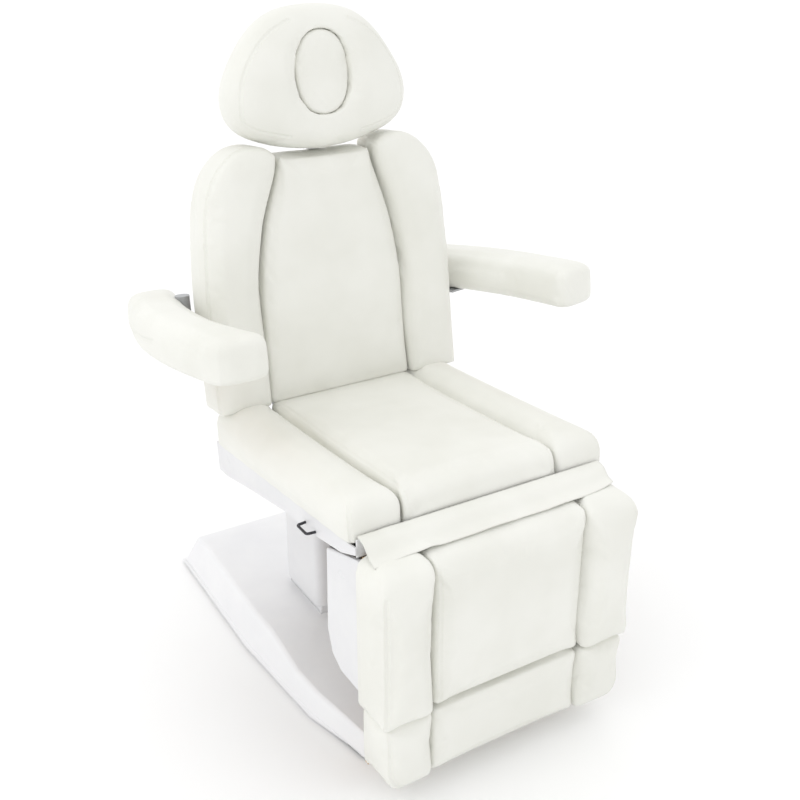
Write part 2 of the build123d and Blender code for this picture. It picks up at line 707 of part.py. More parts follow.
with BuildPart() as motor_pins:
    for x, foot in ((145.0, (-250.0, 490.0)), (-145.0, (60.0, 490.0))):
        rod(Plane.YZ, foot, 4, x - 15, x + 15)
save(motor_pins.part, "motor_pins")

with BuildPart() as tilt_motor_pin:
    rod(Plane.YZ, tilt_foot, 4, -16, 16)
save(tilt_motor_pin.part, "tilt_motor_pin")
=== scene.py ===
import json
import math

import bmesh
import bpy
from mathutils import Matrix, Vector
from mathutils.bvhtree import BVHTree
from mathutils.kdtree import KDTree


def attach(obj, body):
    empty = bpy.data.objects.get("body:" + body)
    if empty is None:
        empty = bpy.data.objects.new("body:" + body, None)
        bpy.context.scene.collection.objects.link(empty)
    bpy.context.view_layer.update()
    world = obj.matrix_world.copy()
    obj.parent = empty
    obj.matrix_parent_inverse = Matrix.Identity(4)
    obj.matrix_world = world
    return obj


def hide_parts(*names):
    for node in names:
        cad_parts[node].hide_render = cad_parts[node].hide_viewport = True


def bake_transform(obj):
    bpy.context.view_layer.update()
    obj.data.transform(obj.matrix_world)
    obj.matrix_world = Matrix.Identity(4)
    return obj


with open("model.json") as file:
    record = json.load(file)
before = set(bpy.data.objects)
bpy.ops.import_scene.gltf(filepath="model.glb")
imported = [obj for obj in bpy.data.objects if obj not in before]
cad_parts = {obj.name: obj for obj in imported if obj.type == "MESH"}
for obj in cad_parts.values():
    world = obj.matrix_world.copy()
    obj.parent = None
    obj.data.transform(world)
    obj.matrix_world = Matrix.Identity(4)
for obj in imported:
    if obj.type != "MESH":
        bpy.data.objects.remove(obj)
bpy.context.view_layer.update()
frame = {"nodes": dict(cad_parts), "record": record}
scene = bpy.context.scene

# Forms are drawn in millimetres in the place of their own part, then set into the bed in metres.
SEAT_LEAN = math.radians(3.5)
BACK_LEAN = math.radians(6.1)
CREASE = Vector((0, 0.160, 0.6218))      # where the seat's and the backrest's surfaces meet
ARM_PIVOT = (332.0, 132.0)               # across and behind, in the armrest's own place
ARM_SPLAY = math.radians(15)

# Each cushion's base and top, measured out of its own board.
BACK_LOW, BACK_PANEL_HIGH, BACK_BOLSTER_HIGH = -95, 0, 21
HEAD_LOW, HEAD_HIGH = -80, 27
PLUG_LOW, PLUG_HIGH = -68, 21
ARM_LOW, ARM_HIGH = 172, 264
LEG_LOW, LEG_PANEL_HIGH, LEG_BOLSTER_HIGH = 446, 539, 558
FOOT_LOW, FOOT_PANEL_HIGH, FOOT_BOLSTER_HIGH = 449, 538, 550

# The room's light: where it is brightest, and its least and greatest strength.
ROOM_LIGHT_FROM = (-0.22, 0.24, 0.91)
ROOM_DIM, ROOM_BRIGHT = 0.62, 1.24


# ---------------------------------------------------------------- camera, floor and light
def set_camera():
    lens = bpy.data.cameras.new("camera")
    lens.lens = 48.0
    lens.sensor_width = 36.0
    camera = bpy.data.objects.new("camera", lens)
    camera.location = (-1.1256, -1.9389, 1.6631)
    camera.rotation_euler = (math.radians(90 - 24.36), 0, math.radians(-31.49))
    scene.collection.objects.link(camera)
    scene.camera = camera


def area_light(name, place, target, size, power):
    data = bpy.data.lights.new(name, "AREA")
    data.size = size
    data.energy = power
    lamp = bpy.data.objects.new(name, data)
    lamp.location = place
    lamp.rotation_euler = (Vector(target) - Vector(place)).to_track_quat("-Z", "Y").to_euler()
    scene.collection.objects.link(lamp)


def set_light():
    """A bright even room, a little brighter from above and the left than from the front."""
    world = bpy.data.worlds.new("studio")
    scene.world = world
    world.use_nodes = True
    nodes, links = world.node_tree.nodes, world.node_tree.links
    toward = nodes.new("ShaderNodeVectorMath")
    toward.operation = "DOT_PRODUCT"
    toward.inputs[1].default_value = ROOM_LIGHT_FROM
    links.new(nodes.new("ShaderNodeTexCoord").outputs["Generated"], toward.inputs[0])
    brightness = spread(nodes, links, toward.outputs["Value"], -1, 1, ROOM_DIM, ROOM_BRIGHT)
    links.new(brightness, nodes["Background"].inputs["Strength"])
    nodes["Background"].inputs["Color"].default_value = (1, 1, 1, 1)
    area_light("key", (-2.6, -0.6, 3.2), (0, 0, 0.6), 1.2, 6)
    scene.view_settings.view_transform = "Standard"
    scene.view_settings.look = "None"


# ---------------------------------------------------------------- where each part stands
def standing(origin, across, along, out):
    """The place of a part, from its origin and the directions of its three axes."""
    turn = Matrix((across, along, out)).transposed().to_4x4()
    return Matrix.Translation(origin) @ turn


seat_back = (0, math.cos(SEAT_LEAN), -math.sin(SEAT_LEAN))
seat_up = (0, math.sin(SEAT_LEAN), math.cos(SEAT_LEAN))
seat_place = standing(CREASE, (1, 0, 0), seat_back, seat_up)
back_up = (0, math.sin(BACK_LEAN), math.cos(BACK_LEAN))
back_out = (0, -math.cos(BACK_LEAN), math.sin(BACK_LEAN))
back_place = standing(CREASE, (1, 0, 0), back_up, back_out)
arm_place = standing(CREASE, (1, 0, 0), [-c for c in back_out], back_up)
front_place = standing((0, 0, 0), (1, 0, 0), (0, 0, 1), (0, -1, 0))
floor_place = Matrix.Identity(4)


def arm_at(side):
    """The place of an armrest. The right one is swung out about its pivot."""
    if side < 0:
        return arm_place
    pivot = Matrix.Translation(Vector((ARM_PIVOT[0] / 1000, ARM_PIVOT[1] / 1000, 0)))
    return arm_place @ pivot @ Matrix.Rotation(ARM_SPLAY, 4, "Z") @ pivot.inverted()


# ---------------------------------------------------------------- making and finishing meshes
def to_piece(name, bm, place):
    """Puts a form drawn in millimetres in its place in the bed, as a piece of its own."""
    bmesh.ops.remove_doubles(bm, verts=bm.verts, dist=0.01)
    bmesh.ops.recalc_face_normals(bm, faces=bm.faces)
    bmesh.ops.transform(bm, matrix=place @ Matrix.Scale(0.001, 4), verts=bm.verts)
    mesh = bpy.data.meshes.new(name)
    bm.to_mesh(mesh)
    bm.free()
    piece = bpy.data.objects.new(name, mesh)
    scene.collection.objects.link(piece)
    return piece


def settle(piece):
    """Makes the piece's modifiers part of its mesh."""
    bpy.context.view_layer.update()
    shown = piece.evaluated_get(bpy.context.evaluated_depsgraph_get())
    mesh = bpy.data.meshes.new_from_object(shown)
    piece.modifiers.clear()
    mesh.name = piece.name
    piece.data = mesh
    return piece


def smooth(piece):
    for face in piece.data.polygons:
        face.use_smooth = True
    return piece


def block_form(name, place, xs, ys, zs, rounds, plain=6.0, shape=None):
    """A block whose edges are rounded one by one. Edges are named by their side, such as (-1, 0, 1)."""
    bm = bmesh.new()
    bmesh.ops.create_cube(bm, size=1)
    share = bm.edges.layers.float.new("bevel_weight_edge")
    largest = max([plain, *rounds.values()])
    for edge in bm.edges:
        middle = (edge.verts[0].co + edge.verts[1].co) / 2
        edge[share] = rounds.get(tuple(round(2 * c) for c in middle), plain) / largest
    bmesh.ops.scale(bm, vec=(xs[1] - xs[0], ys[1] - ys[0], zs[1] - zs[0]), verts=bm.verts)
    bmesh.ops.translate(bm, vec=[(a + b) / 2 for a, b in (xs, ys, zs)], verts=bm.verts)
    for vert in bm.verts:
        if shape:
            vert.co = shape(vert.co)
    piece = to_piece(name, bm, place)
    rounding = piece.modifiers.new("rounding", "BEVEL")
    rounding.limit_method = "WEIGHT"
    rounding.width = largest / 1000
    rounding.segments = 8
    rounding.use_clamp_overlap = False
    return settle(piece)


def outline_form(name, place, plan, low, high, front, rear, steps=6):
    """A flat outline with thickness, its front and rear rims rolled over by (inwards, outwards)."""
    bm = bmesh.new()
    rim = [bm.verts.new((x, y, low + rear[1])) for x, y in plan]
    sides = [bm.edges.new((a, b)) for a, b in zip(rim, rim[1:] + rim[:1])]
    raised = bmesh.ops.extrude_edge_only(bm, edges=sides)["geom"]
    top_verts = [g for g in raised if isinstance(g, bmesh.types.BMVert)]
    bmesh.ops.translate(bm, vec=(0, 0, high - front[1] - low - rear[1]), verts=top_verts)
    top_edges = [g for g in raised if isinstance(g, bmesh.types.BMEdge) and g.is_boundary]
    top = bmesh.ops.contextual_create(bm, geom=top_edges)["faces"][0]
    bottom = bmesh.ops.contextual_create(bm, geom=sides)["faces"][0]
    bmesh.ops.recalc_face_normals(bm, faces=bm.faces)
    for cap, (inwards, outwards) in ((top, front), (bottom, rear)):
        for step in range(steps):
            a, b = (math.radians(90 * s / steps) for s in (step, step + 1))
            bmesh.ops.inset_region(
                bm,
                faces=[cap],
                thickness=inwards * (math.cos(a) - math.cos(b)),
                depth=outwards * (math.sin(b) - math.sin(a)),
                use_even_offset=True,
                use_boundary=True,
            )
    return to_piece(name, bm, place)


def curve_through(points, count, closed=False):
    """Evenly spaced points on a smooth line through a few points."""
    line = bpy.data.curves.new("line", "CURVE")
    line.dimensions = "3D"
    line.resolution_u = 24
    spline = line.splines.new("NURBS")
    spline.points.add(len(points) - 1)
    for knot, point in zip(spline.points, points):
        knot.co = (*point, *(0,) * (3 - len(point)), 1)
    spline.order_u = 3
    spline.use_endpoint_u = not closed
    spline.use_cyclic_u = closed
    holder = bpy.data.objects.new("line", line)
    mesh = bpy.data.meshes.new_from_object(holder)
    found = [v.co.copy() for v in mesh.vertices]
    if closed:
        found.append(found[0])
    bpy.data.objects.remove(holder)
    bpy.data.meshes.remove(mesh)
    lengths = [0.0]
    for a, b in zip(found, found[1:]):
        lengths.append(lengths[-1] + (b - a).length)
    spaced, i = [], 0
    for k in range(count):
        want = lengths[-1] * k / (count if closed else count - 1)
        while i < len(lengths) - 2 and lengths[i + 1] < want:
            i += 1
        part = (want - lengths[i]) / max(lengths[i + 1] - lengths[i], 1e-9)
        spaced.append(found[i].lerp(found[i + 1], min(part, 1)))
    return spaced


# ---------------------------------------------------------------- upholstery
padded_pieces = []
STUFFING_STEPS = 16


def upholster(piece, body, node, hold, rise=0.010, cell=0.006, fill=0.8):
    """Gives a cushion form an even mesh, and notes how it is held while it is stuffed."""
    even = piece.modifiers.new("even mesh", "REMESH")
    even.mode = "VOXEL"
    even.voxel_size = cell
    ease = piece.modifiers.new("ease", "SMOOTH")
    ease.factor = 0.5
    ease.iterations = 4
    settle(piece)
    padded_pieces.append(
        {"piece": piece, "body": body, "node": node, "hold": hold, "rise": rise, "fill": fill}
    )
    return piece


def stuff_all():
    """Blows the covers up from inside, as foam fills them, while their seams and bases are held."""
    rest = {}
    for item in padded_pieces:
        piece, hold = item["piece"], item["hold"]
        held = piece.vertex_groups.new(name="held")
        place = [v.co.copy() for v in piece.data.vertices]
        for vert in piece.data.vertices:
            grip = hold(vert.co * 1000)
            if grip > 0.01:
                held.add([vert.index], min(grip, 1.0), "REPLACE")
        rest[piece.name] = place
        cloth = piece.modifiers.new("stuffing", "CLOTH")
        cloth.settings.quality = 4
        cloth.settings.mass = 0.35
        cloth.settings.tension_stiffness = 14
        cloth.settings.compression_stiffness = 10
        cloth.settings.shear_stiffness = 6
        cloth.settings.bending_stiffness = 0.6
        cloth.settings.use_pressure = True
        cloth.settings.uniform_pressure_force = 4.0
        cloth.settings.vertex_group_mass = "held"
        cloth.settings.effector_weights.gravity = 0
        cloth.collision_settings.use_collision = False
        cloth.point_cache.frame_start = 1
        cloth.point_cache.frame_end = STUFFING_STEPS
    for step in range(1, STUFFING_STEPS + 1):
        scene.frame_set(step)
    for item in padded_pieces:
        piece, rise = item["piece"], item["rise"]
        settle(piece)
        for vert, start in zip(piece.data.vertices, rest[piece.name]):
            move = vert.co - start
            if move.length > 1e-7:
                vert.co = start + move * (rise * math.tanh(move.length / rise) / move.length)
        piece.vertex_groups.clear()
    scene.frame_set(1)


def follow(points, piece, spacing=0.003):
    """A line of points and normals laid on the piece's surface, near the points given."""
    tree = BVHTree.FromObject(piece, bpy.context.evaluated_depsgraph_get())
    ends = [Vector(p) for p in points]
    length = sum((b - a).length for a, b in zip(ends, ends[1:]))
    smooth_line = curve_through(ends, max(3, int(length / spacing)))
    laid = []
    for point in smooth_line:
        place, normal, _, _ = tree.find_nearest(point)
        laid.append((place, normal))
    return laid


def sink(piece, lines, width, depth, lips=0.0):
    """Draws the cover in along seam lines, with a low lip each side where the cloth turns under."""
    count = sum(len(line) for line in lines)
    tree = KDTree(count)
    index = 0
    for line in lines:
        for place, _ in line:
            tree.insert(place, index)
            index += 1
    tree.balance()
    moves = []
    for vert in piece.data.vertices:
        _, _, far = tree.find(vert.co)
        if far < 3 * width:
            fall = far / width
            lip = lips * math.exp(-((fall - 1.6) ** 2) * 3)
            moves.append((vert.index, lip - depth * math.exp(-fall * fall * 1.6)))
    normals = [v.normal.copy() for v in piece.data.vertices]
    for i, move in moves:
        piece.data.vertices[i].co += normals[i] * move
    piece.data.update()


stitch_rows = []


def stitch(body, piece, line, offsets, pitch=0.0075):
    """Notes rows of thread stitches to be laid beside a seam line."""
    tree = BVHTree.FromObject(piece, bpy.context.evaluated_depsgraph_get())
    for offset in offsets:
        travelled, last = 0.0, None
        for (a, normal), (b, _) in zip(line, line[1:]):
            step = b - a
            if step.length < 1e-6:
                continue
            travelled += step.length
            if travelled < pitch:
                continue
            travelled = 0.0
            ahead = step.normalized()
            place, up, _, _ = tree.find_nearest(a + ahead.cross(normal) * offset)
            if last is None or (place - last).length > 0.6 * pitch:
                stitch_rows.append((body, place, ahead, up))
                last = place


def sew_threads():
    """All stitches of a body in one piece, each a slim bead of thread half sunk in the cover."""
    for body in sorted({row[0] for row in stitch_rows}):
        bm = bmesh.new()
        for _, place, ahead, up in [row for row in stitch_rows if row[0] == body]:
            side = up.cross(ahead).normalized()
            turn = Matrix((ahead, side, ahead.cross(side))).transposed().to_4x4()
            bead = Matrix.Translation(place) @ turn @ Matrix.Diagonal((0.0023, 0.00055, 0.00055, 1))
            bmesh.ops.create_icosphere(bm, subdivisions=1, radius=1, matrix=bead)
        mesh = bpy.data.meshes.new(f"stitches_{body}")
        bm.to_mesh(mesh)
        bm.free()
        piece = bpy.data.objects.new(f"stitches_{body}", mesh)
        scene.collection.objects.link(piece)
        mesh.materials.append(finishes["thread"])
        smooth(piece)
        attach(piece, body)


def thicken_mesh(piece, levels=1):
    finer = piece.modifiers.new("finer", "SUBSURF")
    finer.levels = finer.render_levels = levels
    settle(piece)


# ---------------------------------------------------------------- finishes
def colour(red, green, blue):
    """A colour given as seen on a screen, from 0 to 255."""
    return (*[((c / 255 + 0.055) / 1.055) ** 2.4 for c in (red, green, blue)], 1)


def new_group(name, inputs, outputs):
    group = bpy.data.node_groups.new(name, "ShaderNodeTree")
    for label, kind, value in inputs:
        socket = group.interface.new_socket(label, in_out="INPUT", socket_type=kind)
        if value is not None:
            socket.default_value = value
    for label, kind in outputs:
        group.interface.new_socket(label, in_out="OUTPUT", socket_type=kind)
    return group, group.nodes.new("NodeGroupInput"), group.nodes.new("NodeGroupOutput")


def math_node(nodes, links, operation, first, second):
    node = nodes.new("ShaderNodeMath")
    node.operation = operation
    for socket, value in zip(node.inputs, (first, second)):
        if isinstance(value, (int, float)):
            socket.default_value = value
        else:
            links.new(value, socket)
    return node.outputs[0]


def hide_grain_group():
    """Fine pebbled grain of a coated cover: height of the pebbles, and a slow mottle."""
    group, given, result = new_group(
        "hide_grain",
        [("Vector", "NodeSocketVector", None), ("Scale", "NodeSocketFloat", 900.0)],
        [("Height", "NodeSocketFloat"), ("Mottle", "NodeSocketFloat")],
    )
    nodes, links = group.nodes, group.links
    pebbles = nodes.new("ShaderNodeTexVoronoi")
    pebbles.feature = "SMOOTH_F1"
    pebbles.inputs["Smoothness"].default_value = 0.6
    creases = nodes.new("ShaderNodeTexNoise")
    creases.inputs["Scale"].default_value = 160
    creases.inputs["Detail"].default_value = 5
    slow = nodes.new("ShaderNodeTexNoise")
    slow.inputs["Scale"].default_value = 7
    slow.inputs["Detail"].default_value = 3
    for node in (pebbles, creases, slow):
        links.new(given.outputs["Vector"], node.inputs["Vector"])
    links.new(given.outputs["Scale"], pebbles.inputs["Scale"])
    height = math_node(nodes, links, "MULTIPLY_ADD", pebbles.outputs["Distance"], -0.7)
    links.new(creases.outputs["Fac"], height.node.inputs[2])
    links.new(height, result.inputs["Height"])
    links.new(slow.outputs["Fac"], result.inputs["Mottle"])
    return group


def handling_group():
    """Where a surface has been wiped and touched: a soft cloud with finer streaks in it."""
    group, given, result = new_group(
        "handling",
        [("Vector", "NodeSocketVector", None), ("Size", "NodeSocketFloat", 5.0)],
        [("Wiped", "NodeSocketFloat"), ("Specks", "NodeSocketFloat")],
    )
    nodes, links = group.nodes, group.links
    cloud = nodes.new("ShaderNodeTexNoise")
    cloud.inputs["Detail"].default_value = 6
    cloud.inputs["Roughness"].default_value = 0.65
    links.new(given.outputs["Size"], cloud.inputs["Scale"])
    specks = nodes.new("ShaderNodeTexNoise")
    specks.inputs["Scale"].default_value = 420
    specks.inputs["Detail"].default_value = 2
    for node in (cloud, specks):
        links.new(given.outputs["Vector"], node.inputs["Vector"])
    links.new(cloud.outputs["Fac"], result.inputs["Wiped"])
    links.new(specks.outputs["Fac"], result.inputs["Specks"])
    return group


def start_finish(name):
    finish = bpy.data.materials.new(name)
    finish.use_nodes = True
    nodes, links = finish.node_tree.nodes, finish.node_tree.links
    shader = nodes["Principled BSDF"]
    where = nodes.new("ShaderNodeTexCoord").outputs["Object"]
    return finish, nodes, links, shader, where


def add_group(nodes, links, group, where, **values):
    node = nodes.new("ShaderNodeGroup")
    node.node_tree = group
    links.new(where, node.inputs["Vector"])
    for label, value in values.items():
        node.inputs[label].default_value = value
    return node


def spread(nodes, links, source, low, high, to_low, to_high):
    node = nodes.new("ShaderNodeMapRange")
    links.new(source, node.inputs["Value"])
    for label, value in zip(("From Min", "From Max", "To Min", "To Max"), (low, high, to_low, to_high)):
        node.inputs[label].default_value = value
    return node.outputs["Result"]


def two_tones(nodes, links, mask, first, second):
    mix = nodes.new("ShaderNodeMix")
    mix.data_type = "RGBA"
    links.new(mask, mix.inputs["Factor"])
    mix.inputs["A"].default_value = first
    mix.inputs["B"].default_value = second
    return mix.outputs["Result"]


def raise_surface(nodes, links, shader, height, strength, distance):
    bump = nodes.new("ShaderNodeBump")
    bump.inputs["Strength"].default_value = strength
    bump.inputs["Distance"].default_value = distance
    links.new(height, bump.inputs["Height"])
    links.new(bump.outputs["Normal"], shader.inputs["Normal"])


def cover_finish(name, light, dark, grain, rough):
    """Coated cloth of the cushions: pebbled, a little uneven in tone, softly shining."""
    finish, nodes, links, shader, where = start_finish(name)
    hide = add_group(nodes, links, groups["hide"], where, Scale=grain)
    worn = add_group(nodes, links, groups["handling"], where, Size=4.0)
    tone = spread(nodes, links, hide.outputs["Mottle"], 0.35, 0.65, 0, 1)
    links.new(two_tones(nodes, links, tone, light, dark), shader.inputs["Base Color"])
    roughness = spread(nodes, links, worn.outputs["Wiped"], 0.3, 0.7, rough - 0.05, rough + 0.09)
    links.new(roughness, shader.inputs["Roughness"])
    raise_surface(nodes, links, shader, hide.outputs["Height"], 0.10, 0.0004)
    shader.inputs["Specular IOR Level"].default_value = 0.42
    shader.inputs["Coat Weight"].default_value = 0.06
    shader.inputs["Coat Roughness"].default_value = 0.35
    return finish


def moulded_finish(name, light, dark, rough, texture=0.12, scale=380):
    """Moulded plastic: a fine even spark texture, with wiped patches that shine more."""
    finish, nodes, links, shader, where = start_finish(name)
    worn = add_group(nodes, links, groups["handling"], where, Size=6.0)
    mask = spread(nodes, links, worn.outputs["Wiped"], 0.35, 0.7, 0, 1)
    links.new(two_tones(nodes, links, mask, light, dark), shader.inputs["Base Color"])
    roughness = spread(nodes, links, worn.outputs["Wiped"], 0.3, 0.7, rough - 0.04, rough + 0.08)
    links.new(roughness, shader.inputs["Roughness"])
    raise_surface(nodes, links, shader, worn.outputs["Specks"], texture, 0.0002)
    return finish


def metal_finish(name, light, dark, rough, direction, bump=0.05):
    """Metal with fine drawn lines along one direction."""
    finish, nodes, links, shader, where = start_finish(name)
    stretch = nodes.new("ShaderNodeMapping")
    stretch.inputs["Scale"].default_value = direction
    links.new(where, stretch.inputs["Vector"])
    lines = nodes.new("ShaderNodeTexNoise")
    lines.inputs["Scale"].default_value = 60
    lines.inputs["Detail"].default_value = 4
    links.new(stretch.outputs["Vector"], lines.inputs["Vector"])
    worn = add_group(nodes, links, groups["handling"], where, Size=9.0)
    links.new(two_tones(nodes, links, worn.outputs["Wiped"], light, dark), shader.inputs["Base Color"])
    roughness = spread(nodes, links, lines.outputs["Fac"], 0.3, 0.7, rough - 0.07, rough + 0.1)
    links.new(roughness, shader.inputs["Roughness"])
    raise_surface(nodes, links, shader, lines.outputs["Fac"], bump, 0.0001)
    shader.inputs["Metallic"].default_value = 1.0
    return finish


def paint_finish(name, light, dark, rough):
    """Powder paint on steel: orange-peel skin."""
    finish, nodes, links, shader, where = start_finish(name)
    worn = add_group(nodes, links, groups["handling"], where, Size=8.0)
    links.new(two_tones(nodes, links, worn.outputs["Wiped"], light, dark), shader.inputs["Base Color"])
    roughness = spread(nodes, links, worn.outputs["Specks"], 0.3, 0.7, rough - 0.05, rough + 0.08)
    links.new(roughness, shader.inputs["Roughness"])
    raise_surface(nodes, links, shader, worn.outputs["Specks"], 0.25, 0.0002)
    shader.inputs["Coat Weight"].default_value = 0.15
    return finish


def ply_finish(name):
    """Birch plywood: long grain in the face."""
    finish, nodes, links, shader, where = start_finish(name)
    stretch = nodes.new("ShaderNodeMapping")
    stretch.inputs["Scale"].default_value = (3, 26, 26)
    links.new(where, stretch.inputs["Vector"])
    grain = nodes.new("ShaderNodeTexNoise")
    grain.inputs["Scale"].default_value = 5
    grain.inputs["Detail"].default_value = 8
    grain.inputs["Distortion"].default_value = 0.7
    links.new(stretch.outputs["Vector"], grain.inputs["Vector"])
    tone = spread(nodes, links, grain.outputs["Fac"], 0.35, 0.68, 0, 1)
    wood = two_tones(nodes, links, tone, colour(214, 184, 138), colour(178, 141, 94))
    links.new(wood, shader.inputs["Base Color"])
    links.new(spread(nodes, links, grain.outputs["Fac"], 0.3, 0.7, 0.5, 0.7), shader.inputs["Roughness"])
    raise_surface(nodes, links, shader, grain.outputs["Fac"], 0.2, 0.0004)
    return finish


groups = {"hide": hide_grain_group(), "handling": handling_group()}
finishes = {
    "upholstery": cover_finish("ivory_cover", colour(236, 236, 230), colour(231, 231, 224), 900, 0.42),
    "cover_plastic": moulded_finish("white_moulding", colour(240, 240, 241), colour(235, 235, 237), 0.36),
    "shell_plastic": moulded_finish(
        "grey_white_moulding", colour(231, 231, 232), colour(226, 226, 228), 0.40
    ),
    "frame_paint": paint_finish("grey_powder_paint", colour(176, 178, 180), colour(166, 168, 171), 0.42),
    "bright_steel": metal_finish("bright_steel", (0.62, 0.62, 0.61, 1), (0.5, 0.5, 0.5, 1), 0.28, (1, 1, 14)),
    "plywood": ply_finish("birch_ply"),
    "motor_plastic": moulded_finish("black_moulding", colour(38, 38, 40), colour(30, 30, 32), 0.5, 0.3),
    "guide_plastic": moulded_finish("slide_nylon", colour(226, 224, 212), colour(214, 211, 198), 0.48),
    "foot_rubber": moulded_finish("foot_rubber", colour(32, 32, 32), colour(24, 24, 25), 0.75, 0.5),
    "inlet_plastic": moulded_finish("inlet_plastic", colour(26, 26, 27), colour(19, 19, 20), 0.45, 0.2),
    "dark_chrome": metal_finish("dark_chrome", (0.09, 0.09, 0.10, 1), (0.06, 0.06, 0.065, 1), 0.2, (1, 8, 1)),
    "thread": cover_finish("ivory_thread", colour(238, 238, 228), colour(231, 231, 220), 1600, 0.6),
}


def dress_frame():
    """Every part kept from the frame gets the finish of its slot."""
    slots = {s["node"]: s["material_slot"] for s in frame["record"]["subparts"]}
    for node, part in frame["nodes"].items():
        finish = finishes[slots[node]]
        if part.material_slots:
            for slot in part.material_slots:
                slot.material = finish
        else:
            part.data.materials.append(finish)


# ---------------------------------------------------------------- cushion forms
def mirrored(plan):
    return [(-x, y) for x, y in reversed(plan)]


def local_of(place, point_mm):
    """A point of the bed in a part's own place, both in millimetres."""
    return (place.inverted() @ (point_mm / 1000)) * 1000


def let_go(distance, soft):
    """How firmly a cover is held: fully up to its edge, then less and less over a short way."""
    return 1.0 - max(0.0, min(1.0, distance / soft))


def hold_base(place, low):
    """Holds the cover where it is stapled under the board, and lets it go over a short height."""
    def grip(point):
        return let_go(local_of(place, point)[2] - low - 4, 12.0)
    return grip


def seat_low(y):
    """The height of the seat's sloping underside, which falls towards the back."""
    return -74.0 - (y + 586) * 25 / 678


def hold_seat(point):
    """The seat's covers are held along their sloping base, and where they meet the backrest."""
    local = local_of(seat_place, point)
    crease = let_go(4 - local[1], 16) if abs(local[0]) < 190 else 0.0
    return max(let_go(local[2] - seat_low(local[1]) - 6, 14), crease)


def hold_back(point):
    """The backrest's covers are held along their base, and where they meet the seat."""
    base = hold_base(back_place, BACK_LOW)(point)
    return max(base, let_go(local_of(back_place, point)[1] - 4, 16))


def seat_slope(co):
    if co.z < -40:
        co.z = seat_low(co.y)
    return co


def make_seat():
    panel = block_form(
        "seat_panel", seat_place, (-189, 189), (-583, 18), (-90, 1),
        {(0, -1, 1): 34, (-1, 0, 1): 13, (1, 0, 1): 13, (0, 1, 1): 12, (-1, -1, 0): 10, (1, -1, 0): 10},
        shape=seat_slope,
    )
    upholster(panel, "seat", "seat_cushion", hold_seat, rise=0.007)
    for side, name in ((-1, "left"), (1, "right")):
        xs = sorted((side * 191, side * 313))
        bolster = block_form(
            f"seat_bolster_{name}", seat_place, xs, (-584, 88), (-90, 9),
            {(0, -1, 1): 44, (side, 0, 1): 40, (-side, 0, 1): 26, (0, 1, 1): 74, (side, -1, 0): 15,
             (-side, -1, 0): 12, (side, 1, 0): 40},
            shape=seat_slope,
        )
        upholster(bolster, "seat", "seat_cushion", hold_seat, rise=0.009)


back_crease = [
    (191, -3), (191, 160), (191, 250), (186, 300), (182, 330), (170, 400), (155, 455), (132, 520), (119, 566),
]
back_edge = [
    (321, -3), (321, 120), (323, 270), (317, 350), (312, 410), (304, 465), (290, 512), (265, 552),
    (228, 582), (187, 594), (152, 588),
]


def flat_line(points, count):
    return [(p.x, p.y) for p in curve_through([Vector((x, y, 0)) for x, y in points], count)]


def make_back():
    inner = flat_line(back_crease, 16)
    top = flat_line([(117, 565), (60, 560), (0, 559), (-60, 560), (-117, 565)], 9)
    sides = [(x - 1.5, y) for x, y in inner[:-1]]
    plan = sides + top + mirrored(sides)
    panel = outline_form("back_panel", back_place, plan, BACK_LOW, BACK_PANEL_HIGH, (13, 11), (8, 6))
    upholster(panel, "back", "back_cushion", hold_back, rise=0.007)
    outer = flat_line(back_edge, 30)
    for side, name in ((-1, "left"), (1, "right")):
        plan = [(x + 1, y) for x, y in outer[:-1]] + [(150, 587), (126, 569)]
        plan += [(x + 1.5, y) for x, y in reversed(inner[1:-1])] + [(192.5, -3)]
        plan = [(side * x, y) for x, y in plan]
        bolster = outline_form(
            f"back_bolster_{name}", back_place, plan, BACK_LOW, BACK_BOLSTER_HIGH, (24, 22), (9, 8)
        )
        upholster(bolster, "back", "back_cushion", hold_back, rise=0.010)


head_edge = [
    (0, 568), (60, 572), (104, 581), (162, 598), (197, 617), (219, 645), (226, 687), (216, 728), (196, 765),
    (170, 803), (138, 838), (98, 864), (50, 877), (0, 879),
]


def make_head():
    right = flat_line(head_edge, 30)
    plan = right[:-1] + mirrored(right[1:])
    head = outline_form("headrest", back_place, plan, HEAD_LOW, HEAD_HIGH, (84, 48), (26, 34), steps=8)
    cutter = outline_form("face_hole", back_place, oval(67.5, 93.5), -120, 60, (1, 1), (1, 1))
    hole = head.modifiers.new("face hole", "BOOLEAN")
    hole.operation = "DIFFERENCE"
    hole.solver = "EXACT"
    hole.object = cutter
    settle(head)
    bpy.data.objects.remove(cutter)
    upholster(head, "head", "head_cushion", hold_base(back_place, HEAD_LOW), rise=0.006, cell=0.005)
    plug = outline_form("face_hole_plug", back_place, oval(64.5, 90.5), PLUG_LOW, PLUG_HIGH, (17, 11), (6, 6))
    upholster(plug, "plug", "face_plug", hold_base(back_place, PLUG_LOW), rise=0.004, cell=0.0045)


def oval(half_wide, half_tall, count=48, fullness=0.86):
    """The face hole's outline: an oval with rather straight sides."""
    def reach(value):
        return math.copysign(abs(value) ** fullness, value)
    turns = [2 * math.pi * k / count for k in range(count)]
    return [(half_wide * reach(math.cos(t)), 734 + half_tall * reach(math.sin(t))) for t in turns]


